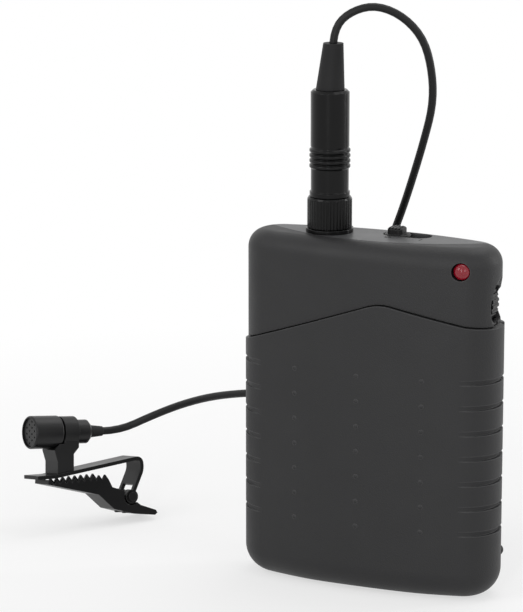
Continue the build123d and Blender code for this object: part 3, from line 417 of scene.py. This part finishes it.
class FinishMaker:
    """Turns a finish into a material, once for each slot."""

    def __init__(self, groups: GroupMaker) -> None:
        self._groups = groups
        self._made: dict[str, bpy.types.Material] = {}

    def material(self, finish: Finish) -> bpy.types.Material:
        """Material of a finish.

        Args:
            finish: The finish.

        Returns:
            The material, built the first time it is asked for.
        """
        if finish.slot not in self._made:
            self._made[finish.slot] = self._build(finish)
        return self._made[finish.slot]

    def _build(self, finish: Finish) -> bpy.types.Material:
        """Builds the node tree of one finish.

        Args:
            finish: The finish.

        Returns:
            The new material.
        """
        made = bpy.data.materials.new(finish.slot)
        made.use_nodes = True
        nodes, links = made.node_tree.nodes, made.node_tree.links
        nodes.clear()
        out = nodes.new("ShaderNodeOutputMaterial")
        shader = nodes.new("ShaderNodeBsdfPrincipled")
        place = nodes.new("ShaderNodeTexCoord")

        def group(tree: bpy.types.NodeTree, **values: float | tuple) -> bpy.types.Node:
            """Adds a shared group, fed with the piece's own coordinates.

            Args:
                tree: The group.
                values: Input name to value.

            Returns:
                The group's node.
            """
            node = nodes.new("ShaderNodeGroup")
            node.node_tree = tree
            for name, value in values.items():
                node.inputs[name].default_value = value
            if "Vector" in node.inputs:
                links.new(place.outputs["Object"], node.inputs["Vector"])
            return node

        drift = group(self._groups.drift(), Colour=(*finish.colour, 1.0), Amount=finish.drift * 2)
        smudge = group(self._groups.smudge(), Roughness=finish.roughness, Spread=finish.smudge * 2)
        edge = group(self._groups.edge(), Radius=finish.edge_radius)
        relief = group(self._groups.relief(finish.pattern), Scale=finish.scale, Height=finish.height)
        # Edges get a painted highlight, a colour lighter than the base, where edge_shade is over 1, and a
        # dark seam colour where it is under 1.
        edge_highlight_and_seam_weight = nodes.new("ShaderNodeMath")
        edge_highlight_and_seam_weight.operation = "MULTIPLY"
        edge_highlight_and_seam_weight.inputs[1].default_value = finish.edge_lift
        mix = nodes.new("ShaderNodeMix")
        mix.data_type = "RGBA"
        lowest = PAINTED_HIGHLIGHT_FLOOR if finish.edge_shade > 1 else 0.0
        edge_colour = [min(1.0, lowest + finish.edge_shade * c) for c in finish.colour]
        mix.inputs["B"].default_value = (*edge_colour, 1.0)
        links.new(edge.outputs["Mask"], edge_highlight_and_seam_weight.inputs[0])
        links.new(edge_highlight_and_seam_weight.outputs[0], mix.inputs["Factor"])
        links.new(drift.outputs["Colour"], mix.inputs["A"])
        links.new(edge.outputs["Normal"], relief.inputs["Normal"])
        links.new(mix.outputs["Result"], shader.inputs["Base Color"])
        links.new(smudge.outputs["Roughness"], shader.inputs["Roughness"])
        links.new(relief.outputs["Normal"], shader.inputs["Normal"])
        shader.inputs["Metallic"].default_value = finish.metallic
        shader.inputs["Specular IOR Level"].default_value = finish.specular
        shader.inputs["Coat Weight"].default_value = finish.coat
        shader.inputs["Coat Roughness"].default_value = COAT_ROUGHNESS
        shader.inputs["Transmission Weight"].default_value = finish.transmission
        links.new(shader.outputs[0], out.inputs["Surface"])
        made.diffuse_color = (*finish.colour, 1.0)
        return made


@dataclass
class SubAssembly:
    """A group of CAD nodes and the finish of each.

    Attributes:
        name: Name of the sub-assembly, for the log.
        finishes: Node name to finish.
    """

    name: str
    finishes: dict[str, Finish] = field(default_factory=dict)

    def dress(self, nodes: dict[str, bpy.types.Object], maker: FinishMaker) -> None:
        """Gives each node its material.

        Args:
            nodes: CAD nodes of the frame.
            maker: Material maker.
        """
        for node, finish in self.finishes.items():
            piece = nodes[node]
            piece.data.materials.clear()
            piece.data.materials.append(maker.material(finish))
        LOG.info("%s: %d pieces dressed", self.name, len(self.finishes))


@dataclass
class Housing(SubAssembly):
    """The case, its cover, its panel and the controls on it."""

    name: str = "housing"
    finishes: dict[str, Finish] = field(
        default_factory=lambda: {
            "front_shell": CASE,
            "back_shell": CASE,
            "battery_cover": CASE,
            "top_panel": PAINTED_TOP_LIGHT_PANEL,
            "case_screws": STEEL,
            "switch_body": BLACK,
            "switch_knob": BLACK,
            "volume_wheel": BLACK,
            "volume_pot": BLACK,
            "led": LED,
        }
    )


@dataclass
class Electronics(SubAssembly):
    """The board, its parts and the battery bay."""

    name: str = "electronics"
    finishes: dict[str, Finish] = field(
        default_factory=lambda: {
            "circuit_board": BOARD,
            "shield_can": STEEL,
            "board_chips": BLACK,
            "capacitors": BLACK,
            "antenna_strip": BRASS,
            "battery_bay": BLACK,
            "battery_cells": WRAP,
            "battery_contacts": STEEL,
        }
    )


@dataclass
class Plug(SubAssembly):
    """The socket in the panel and the locking plug in it."""

    name: str = "plug"
    finishes: dict[str, Finish] = field(
        default_factory=lambda: {
            "socket_shell": GLOSS,
            "socket_nut": GLOSS,
            "socket_insert": BLACK,
            "socket_pins": BRASS,
            "coupling_nut": GLOSS,
            "plug_barrel": GLOSS,
            "plug_insert": BLACK,
            "plug_boot": BOOT,
        }
    )


@dataclass
class Microphone(SubAssembly):
    """The lapel microphone and its spring clip."""

    name: str = "microphone"
    finishes: dict[str, Finish] = field(
        default_factory=lambda: {
            "mic_housing": MIC,
            "mic_grille": MIC,
            "mic_capsule": BLACK,
            "mic_rear_sleeve": MIC,
            "mic_strain_relief": BOOT,
            "clip_holder": BLACK,
            "clip_arm": STEEL_BLACK,
            "clip_jaw": STEEL_BLACK,
            "clip_pin": STEEL_BLACK,
            "clip_spring": STEEL,
        }
    )


@dataclass
class BeltClip(SubAssembly):
    """The belt clip on the back and what holds it."""

    name: str = "belt clip"
    finishes: dict[str, Finish] = field(
        default_factory=lambda: {
            "belt_clip": STEEL_BLACK,
            "belt_clip_bracket": BLACK,
            "belt_clip_pin": STEEL,
            "belt_clip_spring": STEEL,
            "bracket_screws": STEEL,
        }
    )


@dataclass
class MicCord:
    """The thin cord from the plug to the microphone, with its tied coil.

    Attributes:
        centre: Centre of the coil in the row frame, in millimetres.
        diameter: Cord diameter, in millimetres.
        radii: Radii of the coil's layers, in millimetres.
        rows: Heights of the coil's rows, in millimetres.
        order: Layer and row of each turn, from the first to the last.
        start_angle: Angle at which the cord enters the coil, in degrees.
        sweep: Total angle wound, in degrees.
        step: Angle between two points, in degrees.
        lead_in: Angle before the first point, in steps.
        crossing: Angle over which a turn moves to the next place, in degrees.
        length: Real length, in metres. Not used.
        with_pieces: CAD nodes that go with the cord. Not used.
    """

    centre: tuple[float, float] = (-4.0, 36.5)
    diameter: float = 2.1
    radii: tuple[float, ...] = (8.85, 10.95, 13.05, 15.15)
    rows: tuple[float, ...] = (1.6, 3.75, 5.9)
    order: tuple[tuple[int, int], ...] = (
        (1, 2), (0, 2), (0, 1), (0, 0), (1, 0), (1, 1), (2, 1), (2, 0), (3, 0), (3, 1), (3, 2), (2, 2),
    )
    start_angle: float = 171.0
    sweep: float = 360.0 * 11 + 176.0
    step: float = 22.0
    lead_in: float = 1.5
    crossing: float = 60.0
    length: float = 1.22
    with_pieces: tuple[str, ...] = (
        "cord_tie", "mic_strain_relief", "mic_rear_sleeve", "mic_housing", "mic_grille", "mic_capsule",
        "clip_holder", "clip_arm", "clip_jaw", "clip_pin",
    )

    def coil_points(self) -> list[Point]:
        """Points of the wound coil, clockwise as seen from above.

        Returns:
            The points, in millimetres.
        """
        points = []
        turned = self.step * self.lead_in
        while turned < self.sweep - self.step:
            index, within = divmod(turned, 360.0)
            index = int(index)
            here = self.order[index]
            then = self.order[min(index + 1, len(self.order) - 1)]
            blend = max(0.0, (within - 360.0 + self.crossing) / self.crossing)
            blend = blend * blend * (3 - 2 * blend)
            radius = self.radii[here[0]] * (1 - blend) + self.radii[then[0]] * blend
            height = self.rows[here[1]] * (1 - blend) + self.rows[then[1]] * blend
            angle = math.radians(self.start_angle - turned)
            reach = radius / math.cos(math.radians(self.step / 2)) ** 2
            points.append(
                (self.centre[0] + reach * math.cos(angle), self.centre[1] + reach * math.sin(angle), height)
            )
            turned += self.step
        return points

    def build(self, maker: FinishMaker) -> bpy.types.Object:
        """Args:
            maker: Material maker.

        Returns:
            The cord object.
        """
        curve = bpy.data.curves.new("mic_cord", "CURVE")
        curve.dimensions = "3D"
        curve.bevel_depth = self.diameter / 2 * MM
        curve.bevel_resolution = 4
        curve.resolution_u = 4
        curve.use_fill_caps = True
        points = LOOP_ROUTE + self.coil_points() + LEAD_ROUTE
        spline = curve.splines.new("NURBS")
        spline.points.add(len(points) - 1)
        for point, place in zip(spline.points, points):
            point.co = (*(c * MM for c in place), 1.0)
        spline.order_u = 3
        spline.use_endpoint_u = True
        cord = bpy.data.objects.new("mic_cord", curve)
        bpy.context.scene.collection.objects.link(cord)
        curve.materials.append(maker.material(CORD))
        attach(cord, Body.PACK.value)
        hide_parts("mic_cord_loop", "mic_cord_lead", "mic_cord_coil")
        return cord


@dataclass
class TorsionSpring:
    """A wound torsion spring that stands for a CAD stack of rings.

    Attributes:
        node: CAD node it replaces.
        axis: Direction of its pin.
        body: Body it rides.
        turns: Number of turns.
        radius: Mean radius, in millimetres.
        wire: Wire radius, in millimetres.
    """

    node: str
    axis: Point
    body: Body
    turns: int
    radius: float
    wire: float

    def build(self, maker: FinishMaker) -> bpy.types.Object:
        """Builds the spring about the middle of the node that it replaces.

        Args:
            maker: Material maker.

        Returns:
            The spring object.
        """
        low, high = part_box(self.node)
        centre = (low + high) / 2
        along = Vector(self.axis).normalized()
        across = along.orthogonal().normalized()
        other = along.cross(across)
        curve = bpy.data.curves.new(self.node + "_wire", "CURVE")
        curve.dimensions = "3D"
        curve.bevel_depth = self.wire * MM
        curve.bevel_resolution = 3
        curve.use_fill_caps = True
        spline = curve.splines.new("POLY")
        steps = self.turns * STEPS_PER_SPRING_TURN
        spline.points.add(steps)
        for i in range(steps + 1):
            angle = math.tau * i / STEPS_PER_SPRING_TURN
            offset = (i / steps - 0.5) * (self.turns - 1) * 2 * self.wire * MM * 1.02
            outward = across * math.cos(angle) + other * math.sin(angle)
            place = centre + along * offset + outward * self.radius * MM
            spline.points[i].co = (*place, 1.0)
        spring = bpy.data.objects.new(self.node + "_wire", curve)
        bpy.context.scene.collection.objects.link(spring)
        curve.materials.append(maker.material(STEEL))
        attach(spring, self.body.value)
        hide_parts(self.node)
        return spring


@dataclass(frozen=True)
class Lamp:
    """A soft rectangular lamp that faces the object.

    Attributes:
        name: Lamp name.
        place: Position, in metres.
        width: Width, in metres.
        height: Height, in metres.
        power: Power, in watts.
    """

    name: str
    place: Point
    width: float
    height: float
    power: float


LAMPS = (
    Lamp("key", (-0.55, -0.75, 0.75), 0.5, 0.5, 2.4),
    Lamp("fill", (0.9, -0.45, 0.45), 0.45, 0.45, 1.0),
    Lamp("top", (0.1, 0.35, 0.95), 0.6, 0.6, 2.2),
    Lamp("front_strip", (0.157, -0.865, 0.35), 0.07, 0.6, 1.6),
    Lamp("side_strip", (0.725, 0.53, 0.3), 0.08, 0.6, 1.8),
)


@dataclass
class Studio:
    """The camera, lamps, world and floor.

    Attributes:
        toward: Direction from the object to the camera.
        right: Right of the picture.
        up: Up of the picture.
        distance: Camera distance, in metres.
        middle: The pack's middle on the floor, in metres.
        aim_right: How far right of it the camera aims, in metres.
        aim_up: How far up from it the camera aims, in metres.
        lit: The point that the lamps face, in metres.
        floor_half: Half the side of the floor, in metres.
    """

    toward: Point = (0.4045, -0.8877, 0.22)
    right: Point = (0.91, 0.4147, 0.0)
    up: Point = (-0.0912, 0.2002, 0.9755)
    distance: float = 0.892
    middle: Point = (0.0, -0.0035, 0.0)
    aim_right: float = -0.0289
    aim_up: float = 0.0719
    lit: Point = (-0.02, 0.0, 0.06)
    floor_half: float = 6.0

    def camera(self) -> bpy.types.Object:
        """Makes the scene's camera.

        Returns:
            The camera object.
        """
        data = bpy.data.cameras.new("camera")
        data.lens = 200.0
        data.sensor_width = 36.0
        data.clip_start = 0.01
        data.clip_end = 20.0
        camera = bpy.data.objects.new("camera", data)
        bpy.context.scene.collection.objects.link(camera)
        aim = Vector(self.middle) + Vector(self.right) * self.aim_right + Vector(self.up) * self.aim_up
        back = Vector(self.toward).normalized()
        camera.location = aim + back * self.distance
        camera.rotation_mode = "QUATERNION"
        camera.rotation_quaternion = (-back).to_track_quat("-Z", "Y")
        bpy.context.scene.camera = camera
        return camera

    def light(self, lamp: Lamp) -> None:
        """Adds one soft area lamp aimed at the object.

        Args:
            lamp: The lamp.
        """
        data = bpy.data.lights.new(lamp.name, "AREA")
        data.shape = "RECTANGLE"
        data.size = lamp.width
        data.size_y = lamp.height
        data.energy = lamp.power
        made = bpy.data.objects.new(lamp.name, data)
        bpy.context.scene.collection.objects.link(made)
        made.location = lamp.place
        aim = Vector(self.lit) - Vector(lamp.place)
        made.rotation_mode = "QUATERNION"
        made.rotation_quaternion = aim.to_track_quat("-Z", "Y")

    @staticmethod
    def _seen(tree: bpy.types.NodeTree) -> bpy.types.NodeSocket:
        """A value of 1 for rays from the camera, glossy surfaces or clear ones.

        Args:
            tree: Node tree to build in.

        Returns:
            The socket with the value.
        """
        path = tree.nodes.new("ShaderNodeLightPath")
        value = path.outputs["Is Camera Ray"]
        for name in ("Is Glossy Ray", "Is Transmission Ray"):
            both = tree.nodes.new("ShaderNodeMath")
            both.operation = "MAXIMUM"
            tree.links.new(value, both.inputs[0])
            tree.links.new(path.outputs[name], both.inputs[1])
            value = both.outputs[0]
        return value

    def world(self, strength: float) -> None:
        """White world that lights softly and is seen as white.

        Args:
            strength: Light that it gives, where 1 is white.
        """
        world = bpy.data.worlds.new("studio")
        world.use_nodes = True
        bpy.context.scene.world = world
        nodes, links = world.node_tree.nodes, world.node_tree.links
        nodes.clear()
        out = nodes.new("ShaderNodeOutputWorld")
        soft = nodes.new("ShaderNodeBackground")
        soft.inputs["Strength"].default_value = strength
        shown = nodes.new("ShaderNodeBackground")
        shown.inputs["Strength"].default_value = 1.0
        for background in (soft, shown):
            background.inputs["Color"].default_value = (1.0, 1.0, 1.0, 1.0)
        mix = nodes.new("ShaderNodeMixShader")
        links.new(self._seen(world.node_tree), mix.inputs["Fac"])
        links.new(soft.outputs[0], mix.inputs[1])
        links.new(shown.outputs[0], mix.inputs[2])
        links.new(mix.outputs[0], out.inputs["Surface"])

    def floor(self) -> bpy.types.Object:
        """White floor that keeps a soft shadow near the object.

        Returns:
            The floor object.
        """
        half = self.floor_half
        corners = [(-half, -half, 0), (half, -half, 0), (half, half, 0), (-half, half, 0)]
        mesh = bpy.data.meshes.new("floor")
        mesh.from_pydata(corners, [], [(0, 1, 2, 3)])
        floor = bpy.data.objects.new("floor", mesh)
        bpy.context.scene.collection.objects.link(floor)
        floor.location.z = -0.0002
        made = bpy.data.materials.new("floor")
        made.use_nodes = True
        nodes, links = made.node_tree.nodes, made.node_tree.links
        nodes.clear()
        out = nodes.new("ShaderNodeOutputMaterial")
        matte = nodes.new("ShaderNodeBsdfDiffuse")
        matte.inputs["Color"].default_value = (0.9, 0.9, 0.9, 1.0)
        white = nodes.new("ShaderNodeEmission")
        place = nodes.new("ShaderNodeTexCoord")
        away = nodes.new("ShaderNodeVectorMath")
        away.operation = "LENGTH"
        fade = nodes.new("ShaderNodeMapRange")
        fade.inputs["From Min"].default_value = 0.12
        fade.inputs["From Max"].default_value = 0.3
        fade.inputs["To Min"].default_value = 0.62
        fade.inputs["To Max"].default_value = 1.0
        amount = nodes.new("ShaderNodeMath")
        amount.operation = "MULTIPLY"
        mix = nodes.new("ShaderNodeMixShader")
        links.new(place.outputs["Object"], away.inputs[0])
        links.new(away.outputs["Value"], fade.inputs["Value"])
        links.new(fade.outputs["Result"], amount.inputs[0])
        links.new(self._seen(made.node_tree), amount.inputs[1])
        links.new(amount.outputs[0], mix.inputs["Fac"])
        links.new(matte.outputs[0], mix.inputs[1])
        links.new(white.outputs[0], mix.inputs[2])
        links.new(mix.outputs[0], out.inputs["Surface"])
        mesh.materials.append(made)
        return floor


def main() -> None:
    """Builds the whole scene in order."""
    logging.basicConfig(level=logging.INFO)
    bpy.context.scene.view_settings.view_transform = "Standard"
    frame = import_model()
    studio = Studio()
    studio.camera()
    maker = FinishMaker(GroupMaker())
    MicCord().build(maker)
    for part in (Housing(), Electronics(), Plug(), Microphone(), BeltClip()):
        part.dress(frame["nodes"], maker)
    TorsionSpring("belt_clip_spring", (1, 0, 0), Body.PACK, 7, 1.75, 0.34).build(maker)
    TorsionSpring("clip_spring", (0.8253, -0.5327, 0.1865), Body.PACK, 4, 1.2, 0.29).build(maker)
    studio.world(0.55)
    for lamp in LAMPS:
        studio.light(lamp)
    studio.floor()


if __name__ == "__main__":
    main()
